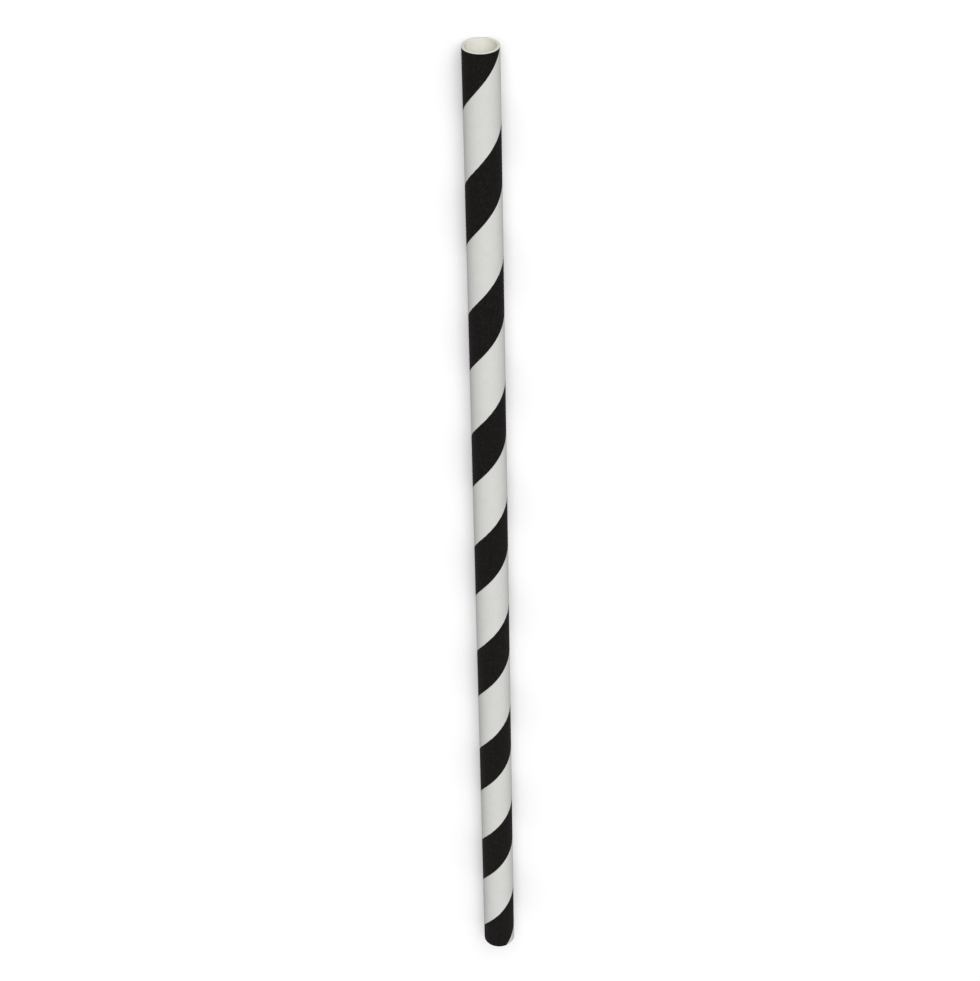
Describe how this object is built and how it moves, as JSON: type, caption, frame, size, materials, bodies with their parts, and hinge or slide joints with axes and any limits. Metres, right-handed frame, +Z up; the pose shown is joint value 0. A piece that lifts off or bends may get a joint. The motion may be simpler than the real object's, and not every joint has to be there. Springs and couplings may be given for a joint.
{
  "type": "paper drinking straw",
  "caption": "Spiral-wound paper drinking straw, a straight thin-walled tube with square-cut open ends and a broad black and white spiral stripe.",
  "frame": {"origin": "centre of the footprint, on the surface that the straw lies on, halfway along its length", "axes": "+Y along the straw's axis, towards the drinking end; +Z up, away from the surface it lies on; +X to the right when seen from above with the drinking end at the top"},
  "size_m": [0.006, 0.197, 0.006],
  "materials": {
    "straw_paper": "uncoated white paper with a broad black spiral stripe printed on the outer strip, 0.46 of the 24.2 mm lead"
  },
  "bodies": {
    "root": {"straw_tube": "straw_paper"}
  },
  "joints": []
}
